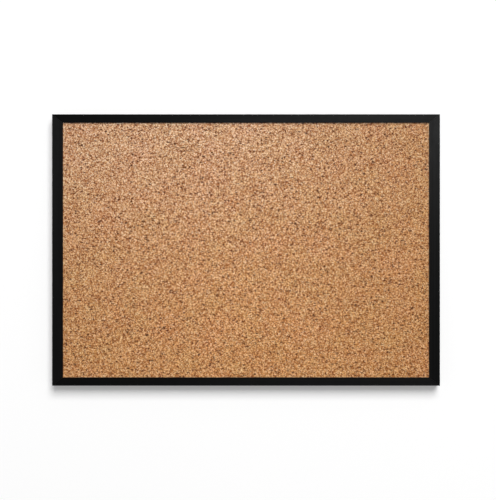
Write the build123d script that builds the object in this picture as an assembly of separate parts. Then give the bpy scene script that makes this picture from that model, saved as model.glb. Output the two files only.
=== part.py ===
"""Framed cork bulletin board: a cork and fibreboard panel held in a mitred sectional aluminium frame.

The board faces -Y, with +X to the right and +Z up. The origin is the middle of the wall plane that the
rubber bumpers touch. Two numbers place a point on a rail's section: u, inwards from the frame's outer
edge, and v, backwards from the frame's front face.
"""
from build123d import *
import os
from math import sqrt

os.makedirs("parts", exist_ok=True)

# Board
board_width = 600.0
board_height = 420.0
side_face = 16.7  # width of the left and right rails' front faces
end_face = 12.9  # width of the top and bottom rails' front faces

# Rail section
wall = 1.3
nose_depth = 2.6  # the face's inner edge, which the cork sits behind
edge_radius = 0.4
slot_width = 8.0  # T-slot that holds the corner keys and the hangers
slot_depth = 3.2
slot_mouth = 4.8
mitre_gap = 0.1

# Panel
cork_thickness = 3.0
core_thickness = 5.0
backing_thickness = 0.3
panel_edge_gap = 0.7

# Bowed springs that push the panel forwards
spring_gap = 1.3
spring_length = 48.0
spring_width = 7.6
spring_strip = 0.4
spring_clearance = 0.05
end_spring_place = 150.0  # from the board's middle, along the top and bottom rails
side_spring_place = 75.0  # from the board's middle, along the side rails

# Corner keys and their screws
key_reach = 36.0  # from the frame's outer edge to the end of a leg
key_thickness = 2.2
key_side_clearance = 0.2
key_chamfer = 1.0
shim_thickness = 0.4
key_screw_place = 24.0  # from the frame's outer edge
key_screw_diameter = 4.0
key_screw_length = 3.5
screw_clearance = 0.05

# Hangers and their D-rings
hanger_drop = 70.0  # from the frame's top edge down to the ring's axis
strap_thickness = 0.8
strap_width = 13.2
strap_straight = 6.0
foot_above = 8.0
foot_below = 16.0
foot_thickness = 1.6
neck_length = 6.4
slide_clearance = 0.1
neck_side_clearance = 0.2
lock_screw_diameter = 3.0
lock_screw_below = 4.6  # below the ring's axis
ring_wire = 2.0
ring_running_clearance = 0.05
ring_side_clearance = 0.4
ring_bend_radius = 1.2
ring_edge_margin = 0.3  # from the frame's outer edge

# Bumpers
bumper_diameter = 9.6
bumper_edge_radius = 0.8
wall_clearance = 0.2  # between the hangers and the wall

# Screw slots
drive_slot_width = 0.6
drive_slot_depth = 0.9

# Depths on the section
cork_front = nose_depth
cork_back = cork_front + cork_thickness
core_back = cork_back + core_thickness
backing_back = core_back + backing_thickness
floor_front = backing_back + spring_gap
floor_back = floor_front + wall
lip_front = floor_back + slot_depth
frame_depth = lip_front + wall
strap_front = frame_depth + slide_clearance
strap_back = strap_front + strap_thickness
barrel_bore_radius = ring_wire / 2 + ring_running_clearance
barrel_radius = barrel_bore_radius + strap_thickness
ring_axis_depth = strap_front + barrel_radius
bumper_thickness = slide_clearance + 2 * barrel_radius + wall_clearance
wall_depth = frame_depth + bumper_thickness

# Distances in from the frame's outer edge
slot_near = wall
slot_far = slot_near + slot_width
slot_centre = (slot_near + slot_far) / 2
inner_wall_far = slot_far + wall
mouth_near = slot_centre - slot_mouth / 2
mouth_far = slot_centre + slot_mouth / 2
panel_edge = wall + panel_edge_gap
ring_half_width = strap_width / 2 + ring_side_clearance + ring_wire / 2
ring_centre = ring_half_width + ring_wire / 2 + ring_edge_margin

half_width = board_width / 2
half_height = board_height / 2
mitre_slope = end_face / side_face
hanger_height = half_height - hanger_drop
past = 1.0  # how far a cutting tool runs past what it cuts


def depth(v):
    """The Y of a point that lies v behind the frame's front face."""
    return v - wall_depth


def block(low, high):
    """A box between two opposite corners."""
    size = [b - a for a, b in zip(low, high)]
    return Pos(*low) * Box(*size, align=(Align.MIN, Align.MIN, Align.MIN))


def top_left_block(u_x, v, u_z):
    """A box near the top left corner, from ranges in from the left edge, back, and down from the top edge."""
    low = (-half_width + u_x[0], depth(v[0]), half_height - u_z[1])
    high = (-half_width + u_x[1], depth(v[1]), half_height - u_z[0])
    return block(low, high)


def rod(radius, centre_x, centre_z, v_front, v_back):
    """A cylinder along Y between two depths."""
    middle = depth((v_front + v_back) / 2)
    return Pos(centre_x, middle, centre_z) * Rot(90, 0, 0) * Cylinder(radius, v_back - v_front)


def tube_along_x(radius, bore_radius, length, centre_x, centre_z, v):
    """A hollow cylinder along X."""
    place = Pos(centre_x, depth(v), centre_z) * Rot(0, 90, 0)
    return place * (Cylinder(radius, length) - Cylinder(bore_radius, length + 2 * past))


def four_corners(piece):
    """The top left corner's piece and its mirror images in the other three corners."""
    lower = mirror(piece, about=Plane.XY)
    return {
        "top_left": piece,
        "top_right": mirror(piece, about=Plane.YZ),
        "bottom_left": lower,
        "bottom_right": mirror(lower, about=Plane.YZ),
    }


def left_and_right(piece):
    """The left piece and its mirror image on the right."""
    return {"left": piece, "right": mirror(piece, about=Plane.YZ)}


def rail_section(face_width):
    """The extrusion's outline: a face with a nose, an outer wall and a T-slot open to the back."""
    bend = edge_radius * (1 - sqrt(0.5))
    edge = ThreePointArc((0, edge_radius), (bend, bend), (edge_radius, 0))
    outline = Polyline(
        (edge_radius, 0),
        (face_width, 0),
        (face_width, nose_depth),
        (face_width - wall, nose_depth),
        (face_width - wall, wall),
        (wall, wall),
        (wall, floor_front),
        (inner_wall_far, floor_front),
        (inner_wall_far, frame_depth),
        (mouth_far, frame_depth),
        (mouth_far, lip_front),
        (slot_far, lip_front),
        (slot_far, floor_back),
        (slot_near, floor_back),
        (slot_near, lip_front),
        (mouth_near, lip_front),
        (mouth_near, frame_depth),
        (0, frame_depth),
        (0, edge_radius),
    )
    return make_face([edge, outline])


def mitred(rail, outer_half, inner_half, outer_at, inner_at, along_x):
    """Keeps the part of a rail between its two mitre planes, which run from the outer to the inner corner."""
    corners = [(-outer_half, outer_at), (outer_half, outer_at), (inner_half, inner_at), (-inner_half, inner_at)]
    if not along_x:
        corners = [(across, along) for along, across in corners]
    points = [(x, depth(-past), z) for x, z in corners]
    outline = make_face(Polyline(*points, close=True))
    return rail & extrude(outline, amount=wall_depth + 2 * past, dir=(0, 1, 0))


def top_rail():
    """The top rail, its face end_face wide."""
    plane = Plane(origin=(0, depth(0), half_height), x_dir=(0, 0, -1), z_dir=(1, 0, 0))
    rail = extrude(plane * rail_section(end_face), amount=half_width, both=True)
    outer = half_width - mitre_gap / 2
    return mitred(rail, outer, outer - side_face, half_height, half_height - end_face, True)


def left_rail():
    """The left rail, its face side_face wide."""
    plane = Plane(origin=(-half_width, depth(0), 0), x_dir=(1, 0, 0), z_dir=(0, 0, 1))
    rail = extrude(plane * rail_section(side_face), amount=half_height, both=True)
    outer = half_height - mitre_gap / 2 * mitre_slope
    return mitred(rail, outer, outer - end_face, -half_width, side_face - half_width, False)


def panel_layer(v_front, v_back):
    """One layer of the panel: cork, fibreboard or backing paper."""
    half_x = half_width - panel_edge
    half_z = half_height - panel_edge
    return block((-half_x, depth(v_front), -half_z), (half_x, depth(v_back), half_z))


def corner_angle(v_front, v_back):
    """An L-shaped plate in the slots of two rails, relieved at its inner corner for the side rail's wall."""
    near = slot_near + key_side_clearance
    far = slot_far - key_side_clearance
    along_top = top_left_block((near, key_reach), (v_front, v_back), (near, far))
    along_side = top_left_block((near, far), (v_front, v_back), (near, key_reach))
    plate = along_top + along_side
    relief_x = (far, slot_far / mitre_slope + key_side_clearance)
    relief_z = (slot_far * mitre_slope - key_side_clearance, far)
    plate -= top_left_block(relief_x, (v_front - past, v_back + past), relief_z)
    leg_ends = plate.edges().filter_by(Axis.Y).filter_by(
        lambda edge: edge.center().X > key_reach - half_width - past
        or edge.center().Z < half_height - key_reach + past
    )
    return chamfer(leg_ends, key_chamfer)


def key_screw_centres():
    """The X and Z of the two screws of the top left corner."""
    return [
        (-half_width + key_screw_place, half_height - slot_centre),
        (-half_width + slot_centre, half_height - key_screw_place),
    ]


def corner_key():
    """The threaded plate, which the screws hold against the slot's lips."""
    key = corner_angle(lip_front - key_thickness, lip_front)
    for x, z in key_screw_centres():
        key -= rod(key_screw_diameter / 2 + screw_clearance, x, z, floor_back, frame_depth)
    return key


def corner_shim():
    """The thin plate on the slot's floor that the screws press on."""
    return corner_angle(floor_back, floor_back + shim_thickness)


def set_screw(diameter, x, z, v_front, v_back):
    """A headless screw with a straight slot in its back end."""
    screw = rod(diameter / 2, x, z, v_front, v_back)
    half_slot = drive_slot_width / 2
    low = (x - diameter, depth(v_back - drive_slot_depth), z - half_slot)
    high = (x + diameter, depth(v_back + past), z + half_slot)
    return screw - block(low, high)


def corner_screws():
    """The eight set screws of the four corners."""
    tip = floor_back + shim_thickness
    screws = []
    for x, z in key_screw_centres():
        screw = set_screw(key_screw_diameter, x, z, tip, tip + key_screw_length)
        screws.extend(four_corners(screw).values())
    return Compound(screws)


def bowed_spring():
    """A bowed steel strip along X, its middle at Y = 0 where it meets the panel and its ends further back."""
    half = spring_length / 2
    rise = spring_gap - spring_strip - 2 * spring_clearance
    front = ThreePointArc((-half, rise), (0, 0), (half, rise))
    back = ThreePointArc((-half, rise + spring_strip), (0, spring_strip), (half, rise + spring_strip))
    left_end = Line((-half, rise), (-half, rise + spring_strip))
    right_end = Line((half, rise), (half, rise + spring_strip))
    return extrude(make_face([front, right_end, back, left_end]), amount=spring_width / 2, both=True)


def spring_in_top_rail():
    """The spring in the left half of the top rail."""
    z = half_height - panel_edge - spring_width / 2
    return Pos(-end_spring_place, depth(backing_back + spring_clearance), z) * bowed_spring()


def spring_in_left_rail():
    """The spring in the upper half of the left rail."""
    x = -half_width + panel_edge + spring_width / 2
    return Pos(x, depth(backing_back + spring_clearance), side_spring_place) * Rot(0, 90, 0) * bowed_spring()


def left_hanger():
    """A foot in the left rail's slot, a neck through its mouth, and a strap rolled round the ring's bar."""
    middle = -half_width + ring_centre
    slot_x = -half_width + slot_centre
    half_foot = slot_width / 2 - key_side_clearance
    half_neck = slot_mouth / 2 - neck_side_clearance
    foot_back = lip_front - slide_clearance
    foot = block(
        (slot_x - half_foot, depth(foot_back - foot_thickness), hanger_height - foot_below),
        (slot_x + half_foot, depth(foot_back), hanger_height + foot_above),
    )
    neck = block(
        (slot_x - half_neck, depth(foot_back), hanger_height - lock_screw_below - neck_length / 2),
        (slot_x + half_neck, depth(strap_front), hanger_height - lock_screw_below + neck_length / 2),
    )
    strap = block(
        (middle - strap_width / 2, depth(strap_front), hanger_height - strap_straight),
        (middle + strap_width / 2, depth(strap_back), hanger_height),
    )
    round_end = rod(strap_width / 2, middle, hanger_height - strap_straight, strap_front, strap_back)
    barrel = tube_along_x(barrel_radius, barrel_bore_radius, strap_width, middle, hanger_height, ring_axis_depth)
    hanger = foot + neck + strap + round_end + barrel
    bore = lock_screw_diameter / 2 + screw_clearance
    return hanger - rod(bore, slot_x, hanger_height - lock_screw_below, floor_back, strap_back + past)


def left_lock_screw():
    """The set screw that locks the left hanger in its slot."""
    slot_x = -half_width + slot_centre
    height = hanger_height - lock_screw_below
    return set_screw(lock_screw_diameter, slot_x, height, floor_back + slide_clearance, strap_back)


def left_ring():
    """The left D-ring, hanging: a bar in the hanger's barrel, two legs and a half circle."""
    half = ring_half_width
    bend = ring_bend_radius
    corner = bend * (1 - sqrt(0.5))
    path = Wire(
        [
            Line((bend - half, 0), (half - bend, 0)),
            ThreePointArc((half - bend, 0), (half - corner, -corner), (half, -bend)),
            Line((half, -bend), (half, -strap_straight)),
            ThreePointArc((half, -strap_straight), (0, -strap_straight - half), (-half, -strap_straight)),
            Line((-half, -strap_straight), (-half, -bend)),
            ThreePointArc((-half, -bend), (corner - half, -corner), (bend - half, 0)),
        ]
    )
    section = Plane(origin=(bend - half, 0, 0), z_dir=(1, 0, 0)) * Circle(ring_wire / 2)
    ring = sweep(section, path=path)
    return Pos(-half_width + ring_centre, depth(ring_axis_depth), hanger_height) * Rot(90, 0, 0) * ring


def corner_bumper():
    """The rubber bumper stuck over the top left corner's slots."""
    x = -half_width + slot_centre
    z = half_height - slot_centre
    bumper = rod(bumper_diameter / 2, x, z, frame_depth, wall_depth)
    back_edge = bumper.edges().filter_by(GeomType.CIRCLE).sort_by(Axis.Y)[-1]
    return fillet(back_edge, bumper_edge_radius)


def all_nodes():
    """Every piece of the board, by name."""
    top = top_rail()
    nodes = {"frame_rail_top": top, "frame_rail_bottom": mirror(top, about=Plane.XY)}
    nodes.update({f"frame_rail_{side}": rail for side, rail in left_and_right(left_rail()).items()})
    nodes["cork_sheet"] = panel_layer(cork_front, cork_back)
    nodes["core_board"] = panel_layer(cork_back, core_back)
    nodes["backing_paper"] = panel_layer(core_back, backing_back)
    by_corner = {
        "corner_key": corner_key(),
        "corner_shim": corner_shim(),
        "end_spring": spring_in_top_rail(),
        "side_spring": spring_in_left_rail(),
        "wall_bumper": corner_bumper(),
    }
    for name, piece in by_corner.items():
        nodes.update({f"{name}_{corner}": copy for corner, copy in four_corners(piece).items()})
    nodes["corner_screws"] = corner_screws()
    by_side = {
        "hanger": left_hanger(),
        "hanger_lock_screw": left_lock_screw(),
        "hanging_ring": left_ring(),
    }
    for name, piece in by_side.items():
        nodes.update({f"{name}_{side}": copy for side, copy in left_and_right(piece).items()})
    return nodes


for node, shape in all_nodes().items():
    export_step(shape, f"parts/{node}.step")
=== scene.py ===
"""Looks of a framed cork bulletin board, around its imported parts.

The board faces -Y on a white wall, with +X to the right and +Z up. Lengths are in metres.
"""

from math import cos, pi, radians, sin

import bpy
import numpy as np
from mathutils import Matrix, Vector


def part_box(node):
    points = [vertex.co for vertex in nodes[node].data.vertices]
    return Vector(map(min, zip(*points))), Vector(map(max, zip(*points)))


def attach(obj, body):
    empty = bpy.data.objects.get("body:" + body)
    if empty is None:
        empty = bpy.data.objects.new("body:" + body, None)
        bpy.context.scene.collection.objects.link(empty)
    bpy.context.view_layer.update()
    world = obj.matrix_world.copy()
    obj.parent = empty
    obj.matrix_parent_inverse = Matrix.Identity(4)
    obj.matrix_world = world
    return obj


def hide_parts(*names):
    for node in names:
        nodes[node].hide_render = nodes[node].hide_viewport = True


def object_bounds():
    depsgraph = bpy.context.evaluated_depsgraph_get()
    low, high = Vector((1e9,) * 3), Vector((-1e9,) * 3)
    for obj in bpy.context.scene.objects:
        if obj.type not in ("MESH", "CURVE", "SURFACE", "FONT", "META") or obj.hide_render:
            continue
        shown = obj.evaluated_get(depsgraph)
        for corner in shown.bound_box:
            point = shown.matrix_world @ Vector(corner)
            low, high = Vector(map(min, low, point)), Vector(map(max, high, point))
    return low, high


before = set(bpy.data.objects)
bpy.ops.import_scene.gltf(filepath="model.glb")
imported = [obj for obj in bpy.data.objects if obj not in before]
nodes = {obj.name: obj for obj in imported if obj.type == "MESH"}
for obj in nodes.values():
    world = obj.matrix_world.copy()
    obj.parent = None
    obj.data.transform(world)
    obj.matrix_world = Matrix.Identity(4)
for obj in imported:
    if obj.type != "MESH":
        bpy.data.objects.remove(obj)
cad_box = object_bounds()

MM = 0.001


def linear(hex_colour):
    """An sRGB hex colour as linear red, green and blue, with an alpha of one."""
    parts = [int(hex_colour[i : i + 2], 16) / 255 for i in (1, 3, 5)]
    return [c / 12.92 if c <= 0.04045 else ((c + 0.055) / 1.055) ** 2.4 for c in parts] + [1.0]


def add(tree, kind, inputs=None, stops=None, **settings):
    """Adds a node: its settings, its inputs by name or number as values or links, and a ramp's stops."""
    made = tree.nodes.new(kind)
    for name, value in settings.items():
        setattr(made, name, value)
    for key, value in (inputs or {}).items():
        if isinstance(value, bpy.types.NodeSocket):
            tree.links.new(value, made.inputs[key])
        else:
            made.inputs[key].default_value = value
    for number, (place, colour) in enumerate(stops or []):
        elements = made.color_ramp.elements
        element = elements[number] if number < len(elements) else elements.new(place)
        element.position = place
        element.color = colour
    return made


def new_material(name):
    """An empty material and its node tree."""
    material = bpy.data.materials.new(name)
    material.use_nodes = True
    material.node_tree.nodes.clear()
    return material, material.node_tree


def grey(value):
    """A grey of that linear value."""
    return (value, value, value, 1.0)


# ---------------------------------------------------------------- materials

MIX_A, MIX_B, MIX_COLOUR = 6, 7, 2  # the Mix node's colour inputs and output

# Sizes in the cork: of the noise that bends the cells and how far it bends them, of the small granules, the granules
# that show a dark rim and the patches, of pores, of crowds of dark granules, and of slow drifts in its colour.
BEND, BEND_REACH = 1.8 * MM, 2.8 * MM
GRAIN, RIMMED_GRAIN, PATCH = 1.2 * MM, 3.0 * MM, 5.0 * MM
PORE = 0.7 * MM
CROWD = 10 * MM
DRIFT = 38 * MM
PAINTED_LIGHT_CENTRE = (-0.01, 0.0, -0.1)  # painted light: the colour is lightest here and falls away outwards
PAINTED_FALLOFF_REACH = 0.4
BARK_SLANT = 0.12  # in radians, from the sheet's long way


def agglomerated_cork():
    """Cork granules bonded with resin, sliced and sanded: mostly light tan granules with dark ones from near the bark
    among them, thin resin seams, and a few large dark bits. Sanding leaves a faint waxy haze on a matt ground."""
    material, tree = new_material("agglomerated_cork")
    place = add(tree, "ShaderNodeTexCoord").outputs["Object"]
    # Granules are torn, not cut, so most patterns of cells are bent by a fine noise first.
    wobble = add(tree, "ShaderNodeTexNoise", {"Vector": place, "Scale": 1 / BEND, "Detail": 2.0})
    centred = add(tree, "ShaderNodeVectorMath", {0: wobble.outputs["Color"], 1: (0.5, 0.5, 0.5)}, operation="SUBTRACT")
    shift = add(tree, "ShaderNodeVectorMath", {0: centred.outputs[0], "Scale": BEND_REACH}, operation="SCALE")
    bent = add(tree, "ShaderNodeVectorMath", {0: place, 1: shift.outputs[0]}).outputs[0]

    # Small granules. A slow noise crowds the dark ones together here and there.
    granule = add(tree, "ShaderNodeTexVoronoi", {"Vector": bent, "Scale": 1 / GRAIN})
    tone = add(tree, "ShaderNodeSeparateColor", {"Color": granule.outputs["Color"]})
    crowd = add(tree, "ShaderNodeTexNoise", {"Vector": place, "Scale": 1 / CROWD, "Detail": 2.0})
    crowded = add(tree, "ShaderNodeMix", {0: 0.10, 2: tone.outputs["Red"], 3: crowd.outputs["Fac"]})
    small = add(
        tree,
        "ShaderNodeValToRGB",
        {"Fac": crowded.outputs[0]},
        stops=[
            (0.06, linear("#6e3408")),
            (0.20, linear("#94501e")),
            (0.30, linear("#cd8847")),
            (0.60, linear("#dca264")),
            (0.95, linear("#e4bc8d")),
        ],
    )
    # The largest granules show through as faint patches.
    patch = add(tree, "ShaderNodeTexVoronoi", {"Vector": bent, "Scale": 1 / PATCH})
    patch_tone = add(tree, "ShaderNodeSeparateColor", {"Color": patch.outputs["Color"]})
    large = add(
        tree,
        "ShaderNodeMix",
        {"Factor": patch_tone.outputs["Green"], MIX_A: (0.97, 0.96, 0.95, 1.0), MIX_B: (1.03, 1.04, 1.05, 1.0)},
        data_type="RGBA",
    ).outputs[MIX_COLOUR]
    colour = add(tree, "ShaderNodeVectorMath", {0: small.outputs["Color"], 1: large}, operation="MULTIPLY").outputs[0]
    # Cell walls and pores inside a granule, under a millimetre: the pores are darkened by painted shade, redder because
    # light that comes back out of a pore is redder.
    pores = add(tree, "ShaderNodeTexNoise", {"Vector": place, "Scale": 1 / PORE, "Detail": 2.0})
    depth = add(tree, "ShaderNodeMapRange", {"Value": pores.outputs["Fac"], "From Min": 0.3, "From Max": 0.55})
    painted_pore_shade = add(
        tree,
        "ShaderNodeMix",
        {"Factor": depth.outputs[0], MIX_A: (0.55, 0.34, 0.16, 1.0), MIX_B: (1.14, 1.26, 1.38, 1.0)},
        data_type="RGBA",
    ).outputs[MIX_COLOUR]
    colour = add(tree, "ShaderNodeVectorMath", {0: colour, 1: painted_pore_shade}, operation="MULTIPLY").outputs[0]
    # Granules of middling size are darkest at their borders, where the resin is.
    rim = add(tree, "ShaderNodeTexVoronoi", {"Vector": place, "Scale": 1 / RIMMED_GRAIN})
    near_rim = add(tree, "ShaderNodeMapRange", {"Value": rim.outputs["Distance"], "From Min": 0.3, "From Max": 0.8})
    rim_shade = add(
        tree,
        "ShaderNodeMix",
        {"Factor": near_rim.outputs[0], MIX_A: (1.10, 1.16, 1.22, 1.0), MIX_B: (0.62, 0.43, 0.25, 1.0)},
        data_type="RGBA",
    ).outputs[MIX_COLOUR]
    colour = add(tree, "ShaderNodeVectorMath", {0: colour, 1: rim_shade}, operation="MULTIPLY").outputs[0]
    # Bark: round bits, slivers that lie along the sheet, and small flecks. Each is the middle of a few of a set of
    # cells, and the figures are the cells' stretch along X, size, share left plain, radius in cells, and colour.
    for along, size, plain, radius, bark in (
        (1.0, 8.0 * MM, 0.89, 0.21, "#4a1c00"),
        (0.36, 4.5 * MM, 0.95, 0.25, "#501f00"),
        (0.6, 2.8 * MM, 0.83, 0.42, "#5a2600"),
    ):
        laid = add(
            tree,
            "ShaderNodeMapping",
            {"Vector": bent, "Rotation": (0.0, BARK_SLANT, 0.0), "Scale": (along, 1.0, 1.0)},
        )
        bits = add(tree, "ShaderNodeTexVoronoi", {"Vector": laid.outputs[0], "Scale": 1 / size})
        kind = add(tree, "ShaderNodeSeparateColor", {"Color": bits.outputs["Color"]})
        chosen = add(
            tree, "ShaderNodeMapRange", {"Value": kind.outputs["Blue"], "From Min": plain, "From Max": plain + 0.02}
        )
        middle = add(
            tree,
            "ShaderNodeMapRange",
            {
                "Value": bits.outputs["Distance"],
                "From Min": radius * 0.7,
                "From Max": radius * 1.3,
                "To Min": 0.95,
                "To Max": 0.0,
            },
        )
        mask = add(tree, "ShaderNodeMath", {0: chosen.outputs[0], 1: middle.outputs[0]}, operation="MULTIPLY")
        colour = add(
            tree,
            "ShaderNodeMix",
            {"Factor": mask.outputs[0], MIX_A: colour, MIX_B: linear(bark)},
            data_type="RGBA",
        ).outputs[MIX_COLOUR]
    # Light granules sand to a waxy smoothness; dark ones, bark and pores stay rough.
    level = add(tree, "ShaderNodeSeparateColor", {"Color": colour})
    roughness = add(
        tree,
        "ShaderNodeMapRange",
        {"Value": level.outputs["Green"], "From Min": 0.06, "From Max": 0.30, "To Min": 0.60, "To Max": 0.26},
    )
    # Slow drift between rosy and olive patches, a few centimetres across.
    drift = add(tree, "ShaderNodeTexNoise", {"Vector": place, "Scale": 1 / DRIFT, "Detail": 3.0})
    tint = add(
        tree,
        "ShaderNodeValToRGB",
        {"Fac": drift.outputs["Fac"]},
        stops=[(0.32, (0.985, 1.01, 0.97, 1.0)), (0.50, grey(1.0)), (0.68, (1.015, 0.975, 1.0, 1.0))],
    )
    # Painted light: the colour is lightest a little below the middle and darker outwards, a painted pool of light with
    # painted shade towards the edges.
    away = add(tree, "ShaderNodeVectorMath", {0: place, 1: PAINTED_LIGHT_CENTRE}, operation="DISTANCE")
    fall = add(
        tree,
        "ShaderNodeMapRange",
        {"Value": away.outputs["Value"], "From Min": 0.0, "From Max": PAINTED_FALLOFF_REACH, "To Min": 1.06, "To Max": 0.87},
    )
    drift_and_painted_falloff = add(tree, "ShaderNodeVectorMath", {0: tint.outputs["Color"], "Scale": fall.outputs[0]}, operation="SCALE")
    colour = add(
        tree,
        "ShaderNodeMix",
        {"Factor": 1.0, MIX_A: colour, MIX_B: drift_and_painted_falloff.outputs[0]},
        data_type="RGBA",
        blend_type="MULTIPLY",
    ).outputs[MIX_COLOUR]
    # Resin seams round the largest granules are a little sunk.
    seam = add(tree, "ShaderNodeTexVoronoi", {"Vector": bent, "Scale": 1 / PATCH}, feature="DISTANCE_TO_EDGE")
    sunk = add(tree, "ShaderNodeMapRange", {"Value": seam.outputs["Distance"], "From Min": 0.0, "From Max": 0.2})
    height = add(
        tree, "ShaderNodeMath", {0: pores.outputs["Fac"], 1: 0.5, 2: sunk.outputs[0]}, operation="MULTIPLY_ADD"
    )
    bump = add(tree, "ShaderNodeBump", {"Height": height.outputs[0], "Strength": 0.4, "Distance": 0.07 * MM})
    shader = add(
        tree,
        "ShaderNodeBsdfPrincipled",
        {
            "Base Color": colour,
            "Roughness": roughness.outputs[0],
            "Specular IOR Level": 0.14,
            "Normal": bump.outputs[0],
        },
    )
    add(tree, "ShaderNodeOutputMaterial", {"Surface": shader.outputs[0]})
    return material


def black_anodised_aluminium(name, along, across, reflectance):
    """Extruded aluminium, etched and dyed black in the oxide: a dark satin metal whose fine die lines run along
    the rail, so that its sheen spreads across them."""
    material, tree = new_material(name)
    place = add(tree, "ShaderNodeTexCoord").outputs["Object"]
    # Die lines are about 0.1 mm apart; they are drawn 0.7 mm apart so that they show.
    stretch = [1.0 if axis != along else 0.004 for axis in range(3)]
    drawn = add(tree, "ShaderNodeMapping", {"Vector": place, "Scale": stretch})
    lines = add(tree, "ShaderNodeTexNoise", {"Vector": drawn.outputs[0], "Scale": 1 / (0.7 * MM), "Detail": 3.0})
    cloud = add(tree, "ShaderNodeTexNoise", {"Vector": place, "Scale": 1 / (9 * MM), "Detail": 3.0})
    roughness = add(
        tree,
        "ShaderNodeMapRange",
        {"Value": cloud.outputs["Fac"], "From Min": 0.3, "From Max": 0.7, "To Min": 0.29, "To Max": 0.35},
    )
    colour = add(
        tree,
        "ShaderNodeValToRGB",
        {"Fac": lines.outputs["Fac"]},
        stops=[(0.30, grey(0.8 * reflectance)), (0.70, grey(1.2 * reflectance))],
    )
    bump = add(tree, "ShaderNodeBump", {"Height": lines.outputs["Fac"], "Strength": 0.25, "Distance": 0.03 * MM})
    sideways = add(tree, "ShaderNodeCombineXYZ", {axis: float(axis == across) for axis in range(3)})
    shader = add(
        tree,
        "ShaderNodeBsdfPrincipled",
        {
            "Base Color": colour.outputs["Color"],
            "Metallic": 1.0,
            "Roughness": roughness.outputs[0],
            "Anisotropic": 0.6,
            "Tangent": sideways.outputs[0],
            "Normal": bump.outputs[0],
        },
    )
    add(tree, "ShaderNodeOutputMaterial", {"Surface": shader.outputs[0]})
    return material


def kraft_paper():
    """Brown backing paper: unbleached pulp with fibres and faint cloudy formation, quite matt."""
    material, tree = new_material("kraft_paper")
    place = add(tree, "ShaderNodeTexCoord").outputs["Object"]
    cloud = add(tree, "ShaderNodeTexNoise", {"Vector": place, "Scale": 1 / (6 * MM), "Detail": 5.0, "Roughness": 0.6})
    laid = add(tree, "ShaderNodeMapping", {"Vector": place, "Scale": (0.15, 1.0, 1.0)})
    fibres = add(tree, "ShaderNodeTexNoise", {"Vector": laid.outputs[0], "Scale": 1 / (0.8 * MM), "Detail": 4.0})
    mixed = add(tree, "ShaderNodeMath", {0: fibres.outputs["Fac"], 1: cloud.outputs["Fac"]}, operation="ADD")
    colour = add(
        tree,
        "ShaderNodeValToRGB",
        {"Fac": add(tree, "ShaderNodeMath", {0: mixed.outputs[0], 1: 0.5}, operation="MULTIPLY").outputs[0]},
        stops=[(0.36, linear("#a57f57")), (0.50, linear("#b48e65")), (0.64, linear("#c29d75"))],
    )
    bump = add(tree, "ShaderNodeBump", {"Height": fibres.outputs["Fac"], "Strength": 0.35, "Distance": 0.05 * MM})
    shader = add(
        tree,
        "ShaderNodeBsdfPrincipled",
        {"Base Color": colour.outputs["Color"], "Roughness": 0.85, "Normal": bump.outputs[0]},
    )
    add(tree, "ShaderNodeOutputMaterial", {"Surface": shader.outputs[0]})
    return material


def fibreboard():
    """Soft fibreboard: pressed wood fibre, mottled brown and matt, hairy at a cut edge."""
    material, tree = new_material("fibreboard")
    place = add(tree, "ShaderNodeTexCoord").outputs["Object"]
    fibres = add(tree, "ShaderNodeTexNoise", {"Vector": place, "Scale": 1 / (1.2 * MM), "Detail": 5.0})
    colour = add(
        tree,
        "ShaderNodeValToRGB",
        {"Fac": fibres.outputs["Fac"]},
        stops=[(0.35, linear("#7d5d3e")), (0.65, linear("#a5825c"))],
    )
    bump = add(tree, "ShaderNodeBump", {"Height": fibres.outputs["Fac"], "Strength": 0.5, "Distance": 0.15 * MM})
    shader = add(
        tree,
        "ShaderNodeBsdfPrincipled",
        {"Base Color": colour.outputs["Color"], "Roughness": 0.9, "Normal": bump.outputs[0]},
    )
    add(tree, "ShaderNodeOutputMaterial", {"Surface": shader.outputs[0]})
    return material


def steel(name, dark, light, rough, smooth, grain):
    """Sheet or wire steel under a thin finish: a metal whose brightness and gloss vary in faint clouds."""
    material, tree = new_material(name)
    place = add(tree, "ShaderNodeTexCoord").outputs["Object"]
    cloud = add(tree, "ShaderNodeTexNoise", {"Vector": place, "Scale": 1 / grain, "Detail": 4.0, "Roughness": 0.6})
    colour = add(
        tree, "ShaderNodeValToRGB", {"Fac": cloud.outputs["Fac"]}, stops=[(0.32, linear(dark)), (0.68, linear(light))]
    )
    gloss = add(
        tree,
        "ShaderNodeMapRange",
        {"Value": cloud.outputs["Fac"], "From Min": 0.3, "From Max": 0.7, "To Min": rough, "To Max": smooth},
    )
    bump = add(tree, "ShaderNodeBump", {"Height": cloud.outputs["Fac"], "Strength": 0.15, "Distance": 0.03 * MM})
    shader = add(
        tree,
        "ShaderNodeBsdfPrincipled",
        {
            "Base Color": colour.outputs["Color"],
            "Metallic": 1.0,
            "Roughness": gloss.outputs[0],
            "Normal": bump.outputs[0],
        },
    )
    add(tree, "ShaderNodeOutputMaterial", {"Surface": shader.outputs[0]})
    return material


def moulded_rubber():
    """Moulded black rubber: soft, slightly dusty and matt."""
    material, tree = new_material("moulded_rubber")
    place = add(tree, "ShaderNodeTexCoord").outputs["Object"]
    dust = add(tree, "ShaderNodeTexNoise", {"Vector": place, "Scale": 1 / (1.5 * MM), "Detail": 4.0})
    colour = add(
        tree,
        "ShaderNodeValToRGB",
        {"Fac": dust.outputs["Fac"]},
        stops=[(0.35, linear("#232323")), (0.70, linear("#343332"))],
    )
    bump = add(tree, "ShaderNodeBump", {"Height": dust.outputs["Fac"], "Strength": 0.3, "Distance": 0.05 * MM})
    shader = add(
        tree,
        "ShaderNodeBsdfPrincipled",
        {"Base Color": colour.outputs["Color"], "Roughness": 0.62, "IOR": 1.5, "Normal": bump.outputs[0]},
    )
    add(tree, "ShaderNodeOutputMaterial", {"Surface": shader.outputs[0]})
    return material


def paint(node_names, material):
    """Gives CAD nodes one material."""
    for name in node_names:
        slots = nodes[name].data.materials
        slots.clear()
        slots.append(material)


# ---------------------------------------------------------------- the cork's surface

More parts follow.
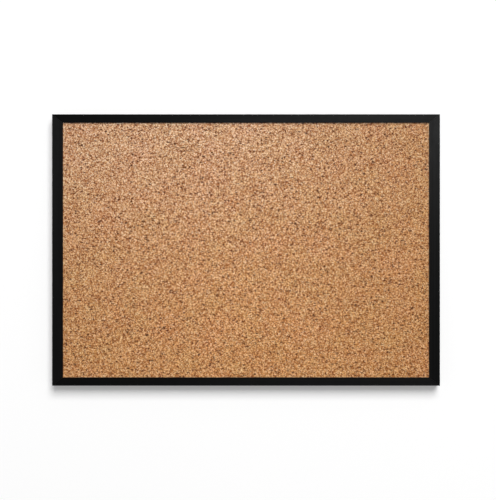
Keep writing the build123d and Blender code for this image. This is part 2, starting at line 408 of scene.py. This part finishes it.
CORK_CELL = 1.55 * MM  # spacing of the surface grid
GRANULE = 4.4 * MM
SMALL_GRANULE = 2.5 * MM
RELIEF = 0.18 * MM  # from the highest granule to the deepest seam
FAR = 9.0  # in squares: further than any centre that is tried


def granules(x, z, size, seed):
    """Splits a plane into granules. Each square of a grid of that size holds one centre at a random place in it, and
    a point belongs to its nearest centre. Gives the distance to the border, in squares, as half the difference
    between the two smallest distances, and the nearest centre's random value."""
    u, w = x / size, z / size
    square_u, square_w = np.floor(u).astype(int), np.floor(w).astype(int)
    first_u, first_w = square_u.min() - 1, square_w.min() - 1
    shape = (int(np.ptp(square_u)) + 3, int(np.ptp(square_w)) + 3)
    centre_u, centre_w, value = np.random.default_rng(seed).random((3, *shape))
    nearest = np.full(x.shape, FAR)
    second = nearest.copy()
    chosen = np.zeros(x.shape)
    for step_u in (-1, 0, 1):
        for step_w in (-1, 0, 1):
            i, j = square_u + step_u - first_u, square_w + step_w - first_w
            away = np.hypot(
                square_u + step_u + centre_u[i, j] - u,
                square_w + step_w + centre_w[i, j] - w,
            )
            closer = away < nearest
            second = np.where(closer, nearest, np.minimum(second, away))
            chosen = np.where(closer, value[i, j], chosen)
            nearest = np.minimum(nearest, away)
    return (second - nearest) / 2, chosen


def cork_depth(x, z):
    """How far the cork lies below its highest point, as a share of the relief: large and small granules sit at
    their own random heights, and both dip towards their borders."""
    border, level = granules(x, z, GRANULE, 11)
    small_border, small_level = granules(x, z, SMALL_GRANULE, 23)
    dip = np.exp(-border / 0.10)
    small_dip = np.exp(-small_border / 0.12)
    return np.clip(0.30 * level + 0.25 * small_level + 0.25 * dip + 0.20 * small_dip, 0, 1)


def cork_panel():
    """The cork sheet: a fine grid of granules where it shows, flat under the frame, closed by plain sides and back."""
    low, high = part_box("cork_sheet")
    rail_left, rail_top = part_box("frame_rail_left"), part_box("frame_rail_top")
    edge_x, edge_z = -rail_left[1].x, rail_top[0].z
    shown_x = np.linspace(-edge_x, edge_x, int(2 * edge_x / CORK_CELL))
    shown_z = np.linspace(-edge_z, edge_z, int(2 * edge_z / CORK_CELL))
    across = np.concatenate([[low.x], shown_x, [high.x]])
    up = np.concatenate([[low.z], shown_z, [high.z]])
    x, z = np.meshgrid(across, up, indexing="ij")
    depth = np.zeros(x.shape)
    depth[2:-2, 2:-2] = cork_depth(x, z)[2:-2, 2:-2] * RELIEF
    front = np.stack([x, low.y + depth, z], axis=-1).reshape(-1, 3)
    count_x, count_z = x.shape
    number = np.arange(count_x * count_z).reshape(count_x, count_z)
    quads = np.stack([number[:-1, :-1], number[1:, :-1], number[1:, 1:], number[:-1, 1:]], axis=-1).reshape(-1, 4)
    # The four corners of the back, in the order low x low z, high x low z, high x high z, low x high z.
    corners = [(low.x, high.y, low.z), (high.x, high.y, low.z), (high.x, high.y, high.z), (low.x, high.y, high.z)]
    back = [len(front) + i for i in range(4)]
    edges = [number[:, 0], number[-1, :], number[::-1, -1], number[0, ::-1]]
    sides = [[*edge[::-1].tolist(), back[i], back[(i + 1) % 4]] for i, edge in enumerate(edges)]
    faces = quads.tolist() + sides + [back[::-1]]
    mesh = bpy.data.meshes.new("cork_panel")
    mesh.from_pydata(np.concatenate([front, corners]).tolist(), [], faces)
    smooth = np.zeros(len(faces), bool)
    smooth[: len(quads)] = True
    mesh.polygons.foreach_set("use_smooth", smooth)
    mesh.update()
    mesh.validate()
    panel = bpy.data.objects.new("cork_panel", mesh)
    bpy.context.scene.collection.objects.link(panel)
    panel.data.materials.append(agglomerated_cork())
    return panel


cork = cork_panel()
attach(cork, "board")
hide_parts("cork_sheet")

# Painted light: the side rails get a higher reflectance than the end rails so that they read lighter, though both are
# the same anodised metal.
end_rails = black_anodised_aluminium("black_anodised_end_rails", along=0, across=2, reflectance=0.0036)
painted_lighter_side_rails = black_anodised_aluminium("black_anodised_side_rails", along=2, across=0, reflectance=0.0051)
# Zinc plate is bright and silvery, blued spring steel a dull blue-grey, and blackened screw steel nearly black.
zinc_plate = steel("bright_zinc_plate", "#aeb2b8", "#cdd0d4", 0.30, 0.20, 2.5 * MM)
spring_steel = steel("blued_spring_steel", "#5a5e66", "#7a7e86", 0.35, 0.25, 3.0 * MM)
black_steel = steel("blackened_screw_steel", "#2a2a2c", "#3c3c3f", 0.45, 0.35, 1.2 * MM)
paint([n for n in nodes if n in ("frame_rail_top", "frame_rail_bottom")], end_rails)
paint([n for n in nodes if n in ("frame_rail_left", "frame_rail_right")], painted_lighter_side_rails)
paint([n for n in nodes if n.startswith(("corner_key", "hanger_", "hanging_"))], zinc_plate)
paint([n for n in nodes if n.startswith("corner_shim") or "_spring_" in n], spring_steel)
paint([n for n in nodes if "screw" in n], black_steel)  # after the hangers, whose names the lock screws share
paint([n for n in nodes if n.startswith("wall_bumper")], moulded_rubber())
paint(["backing_paper"], kraft_paper())
paint(["core_board", "cork_sheet"], fibreboard())


# ---------------------------------------------------------------- wall, floor, light and camera

BOARD_FRONT = cad_box[0][1]
AIM = Vector((3.05 * MM, BOARD_FRONT, 0.0))  # a little to the right of the board's middle
WALL_GAP = 0.6 * MM  # from the bumpers' backs to the wall
WALL_MIDDLE, WALL_HALF_WIDTH, WALL_HALF_HEIGHT = 1.2, 5, 2.2
FLOOR_LEVEL, FLOOR_HALF_SIZE = -1.0, 6
WALL_GLOW = 0.23  # light that the wall adds to what falls on it, so that it reads as white
FLOOR_GLOW = 0.7  # the same for the floor, to the camera alone
FLOOR_REFLECTANCE = 0.85


def staged_plane(name, centre, across, up, material):
    """A flat rectangle: its centre, and half its width and height as vectors."""
    corners = [centre - across - up, centre + across - up, centre + across + up, centre - across + up]
    mesh = bpy.data.meshes.new(name)
    mesh.from_pydata([tuple(c) for c in corners], [], [(0, 1, 2, 3)])
    plane = bpy.data.objects.new(name, mesh)
    bpy.context.scene.collection.objects.link(plane)
    mesh.materials.append(material)
    return plane


def white_wall():
    """White emulsion on a plastered wall: matt and even. It keeps the board's shadow and can't be seen from behind."""
    material, tree = new_material("white_wall")
    paint_layer = add(tree, "ShaderNodeBsdfDiffuse", {"Color": grey(1.0)})
    glow = add(tree, "ShaderNodeEmission", {"Color": grey(1.0), "Strength": WALL_GLOW})
    front = add(tree, "ShaderNodeAddShader", {0: paint_layer.outputs[0], 1: glow.outputs[0]})
    back = add(tree, "ShaderNodeBsdfTransparent")
    side = add(tree, "ShaderNodeNewGeometry")
    both = add(
        tree, "ShaderNodeMixShader", {0: side.outputs["Backfacing"], 1: front.outputs[0], 2: back.outputs[0]}
    )
    add(tree, "ShaderNodeOutputMaterial", {"Surface": both.outputs[0]})
    return material


def pale_floor():
    """A floor painted white, well below the board: matt and even."""
    material, tree = new_material("pale_floor")
    paint_layer = add(tree, "ShaderNodeBsdfDiffuse", {"Color": grey(FLOOR_REFLECTANCE)})
    glow = add(tree, "ShaderNodeEmission", {"Color": grey(1.0), "Strength": FLOOR_GLOW})
    ray = add(tree, "ShaderNodeLightPath")
    lit = add(tree, "ShaderNodeAddShader", {0: paint_layer.outputs[0], 1: glow.outputs[0]})
    seen = add(
        tree, "ShaderNodeMixShader", {0: ray.outputs["Is Camera Ray"], 1: paint_layer.outputs[0], 2: lit.outputs[0]}
    )
    add(tree, "ShaderNodeOutputMaterial", {"Surface": seen.outputs[0]})
    return material


wall = staged_plane(
    "wall",
    centre=Vector((0, WALL_GAP, WALL_MIDDLE)),
    across=Vector((WALL_HALF_WIDTH, 0, 0)),
    up=Vector((0, 0, WALL_HALF_HEIGHT)),
    material=white_wall(),
)
floor = staged_plane(
    "floor",
    centre=Vector((0, 0, FLOOR_LEVEL)),
    across=Vector((FLOOR_HALF_SIZE, 0, 0)),
    up=Vector((0, FLOOR_HALF_SIZE, 0)),
    material=pale_floor(),
)
# Both keep shadows that fall on them, but throw no light back at the board and cast no shadow themselves.
for plane in (wall, floor):
    plane.visible_diffuse = plane.visible_glossy = plane.visible_transmission = plane.visible_shadow = False

AMBIENT = 0.18  # the world's light on a white surface


def studio_world():
    """A white surround to the eye and in reflections, which lights the board as a dimmer grey."""
    world = bpy.data.worlds.new("studio")
    world.use_nodes = True
    tree = world.node_tree
    tree.nodes.clear()
    ray = add(tree, "ShaderNodeLightPath")
    eye_or_gloss = add(
        tree, "ShaderNodeMath", {0: ray.outputs["Is Camera Ray"], 1: ray.outputs["Is Glossy Ray"]}, operation="MAXIMUM"
    )
    white = add(
        tree, "ShaderNodeMath", {0: eye_or_gloss.outputs[0], 1: ray.outputs["Is Transmission Ray"]}, operation="MAXIMUM"
    )
    strength = add(tree, "ShaderNodeMapRange", {"Value": white.outputs[0], "To Min": AMBIENT, "To Max": 1.0})
    surround = add(tree, "ShaderNodeBackground", {"Color": grey(1.0), "Strength": strength.outputs[0]})
    add(tree, "ShaderNodeOutputWorld", {"Surface": surround.outputs[0]})
    bpy.context.scene.world = world


WHITE = (1.0, 1.0, 1.0)
WARM_WHITE = (1.0, 0.96, 0.91)


def soft_light(
    name, azimuth, elevation, distance, width, height, level, unlit=(), gloss_only=False, colour=WHITE
):
    """An area light that faces the board's middle. The azimuth is to the right of the view along +Y, level is the
    brightness it gives a white surface that faces it, unlit are objects that it is flagged off, gloss_only leaves it
    to reflections alone, and colour is its linear colour."""
    turn, lift = radians(azimuth), radians(elevation)
    towards = Vector((sin(turn) * cos(lift), -cos(turn) * cos(lift), sin(lift)))
    lamp = bpy.data.lights.new(name, "AREA")
    lamp.shape = "RECTANGLE"
    lamp.size = width
    lamp.size_y = height
    lamp.energy = level * pi * pi * distance**2  # one pi for the lamp's spread, one for the surface's
    lamp.color = colour
    light = bpy.data.objects.new(name, lamp)
    if unlit:
        flags = bpy.data.collections.new(name + "_flags")
        for hidden in unlit:
            flags.objects.link(hidden)
        for entry in flags.collection_objects:
            entry.light_linking.link_state = "EXCLUDE"
        light.light_linking.receiver_collection = flags
    light.visible_diffuse = not gloss_only
    light.location = towards * distance
    light.rotation_euler = towards.to_track_quat("Z", "Y").to_euler()
    bpy.context.scene.collection.objects.link(light)


studio_world()
soft_light("key", azimuth=11, elevation=32.5, distance=9.0, width=4.4, height=5.0, level=0.81)
# Three low lamps: one lights the cork, one leaves a waxy haze on it, and one gives the rails their sheen. They are
# flagged off the wall and floor, so that the board's shadow stays soft and deep, and off each other's part.
rails = [nodes[n] for n in nodes if n.startswith("frame_rail")]
off_the_cork, off_the_rails = [wall, floor, cork], [wall, floor, *rails]
low_lamp = {"distance": 9.0, "width": 3.2, "height": 0.96}
soft_light("cork_glow", azimuth=-4, elevation=8, level=0.12, unlit=off_the_rails, **low_lamp)
soft_light(
    "cork_haze",
    azimuth=-4.5,
    elevation=9,
    level=0.62,
    unlit=off_the_rails,
    gloss_only=True,
    colour=WARM_WHITE,
    **low_lamp,
)
soft_light("rail_sheen", azimuth=10, elevation=9, level=0.20, unlit=off_the_cork, **low_lamp)
soft_light("back_key", azimuth=150, elevation=35, distance=4.0, width=2.0, height=2.0, level=0.55)
soft_light("back_fill", azimuth=-165, elevation=50, distance=4.0, width=2.0, height=2.0, level=0.35)

LENS, SENSOR = 85.0, 36.0  # in millimetres
VIEW_HEIGHT = 0.7733  # what the camera takes in at the board's front
CAMERA_DISTANCE = LENS / SENSOR * VIEW_HEIGHT
camera_data = bpy.data.cameras.new("camera")
camera_data.lens = LENS
camera_data.sensor_width = SENSOR
camera = bpy.data.objects.new("camera", camera_data)
camera.location = AIM + Vector((0, -CAMERA_DISTANCE, 0))
camera.rotation_euler = (radians(90), 0, 0)
bpy.context.scene.collection.objects.link(camera)
bpy.context.scene.camera = camera
bpy.context.scene.view_settings.view_transform = "Standard"
